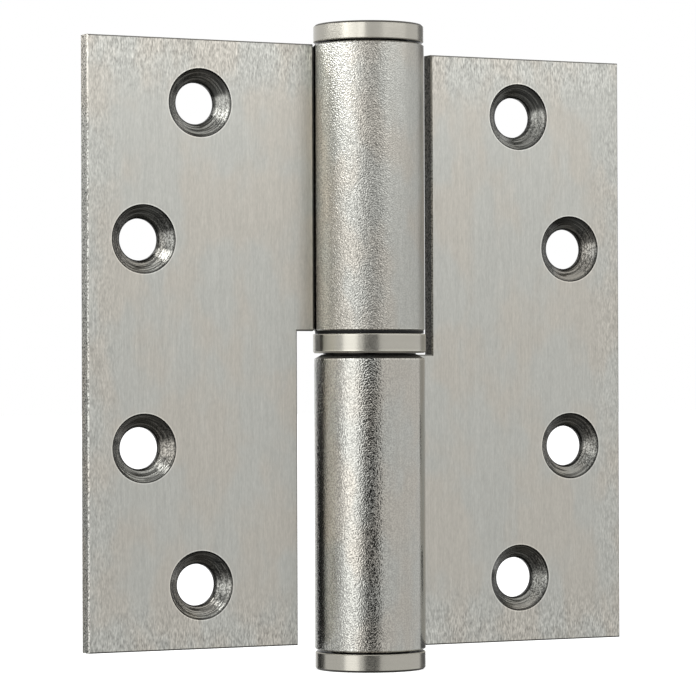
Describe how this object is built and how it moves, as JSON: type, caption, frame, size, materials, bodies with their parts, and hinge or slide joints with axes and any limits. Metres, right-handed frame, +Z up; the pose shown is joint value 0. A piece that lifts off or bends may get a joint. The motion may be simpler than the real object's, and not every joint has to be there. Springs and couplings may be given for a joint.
{
  "type": "lift-off hinge",
  "caption": "Stainless lift-off hinge with rolled knuckles, capped ends, a thrust bearing ring between the knuckles and countersunk screw holes.",
  "frame": {"origin": "on the pin's axis, half way up the hinge over both caps", "axes": "+X along the frame leaf away from the pin, +Y behind the leaves on the side opposite the countersinks, +Z up the pin"},
  "size_m": [0.089, 0.0168, 0.0958],
  "materials": {
    "leaf_steel": "sheet stainless steel with a fine grain up the leaf",
    "turned_steel": "turned stainless steel with a fine grain round the axis",
    "pin_steel": "ground stainless steel",
    "bearing_steel": "polished bearing steel",
    "dark_steel": "blackened steel of the turning raceway, whose rim shows as a dark line above the ring",
    "cage_brass": "plain brass"
  },
  "bodies": {
    "frame": {"frame_leaf": "leaf_steel", "hinge_pin": "pin_steel", "bottom_cap": "turned_steel", "bearing_shell": "turned_steel", "bearing_lower_race": "bearing_steel"},
    "bearing_top": {"bearing_upper_race": "dark_steel"},
    "door": {"door_leaf": "leaf_steel", "top_cap": "turned_steel"},
    "roller_ring": {"bearing_cage": "cage_brass", "roller_01": "bearing_steel", "roller_02": "bearing_steel", "roller_03": "bearing_steel", "roller_04": "bearing_steel", "roller_05": "bearing_steel", "roller_06": "bearing_steel", "roller_07": "bearing_steel", "roller_08": "bearing_steel", "roller_09": "bearing_steel", "roller_10": "bearing_steel", "roller_11": "bearing_steel", "roller_12": "bearing_steel"}
  },
  "joints": [
    {"name": "leaf_swing", "type": "hinge", "parent": "frame", "child": "bearing_top", "pos_m": [0, 0, 0], "axis": [0, 0, 1], "range_deg": [-130, 180]},
    {"name": "lift_off", "type": "slide", "parent": "bearing_top", "child": "door", "axis": [0, 0, 1], "range_m": [0, 0.04]},
    {"name": "roller_ring_turn", "type": "hinge", "parent": "frame", "child": "roller_ring", "pos_m": [0, 0, 0], "axis": [0, 0, 1], "range_deg": [-65, 90]}
  ],
  "couplings": [
    {"joint": "roller_ring_turn", "follows": "leaf_swing", "ratio": 0.5}
  ]
}
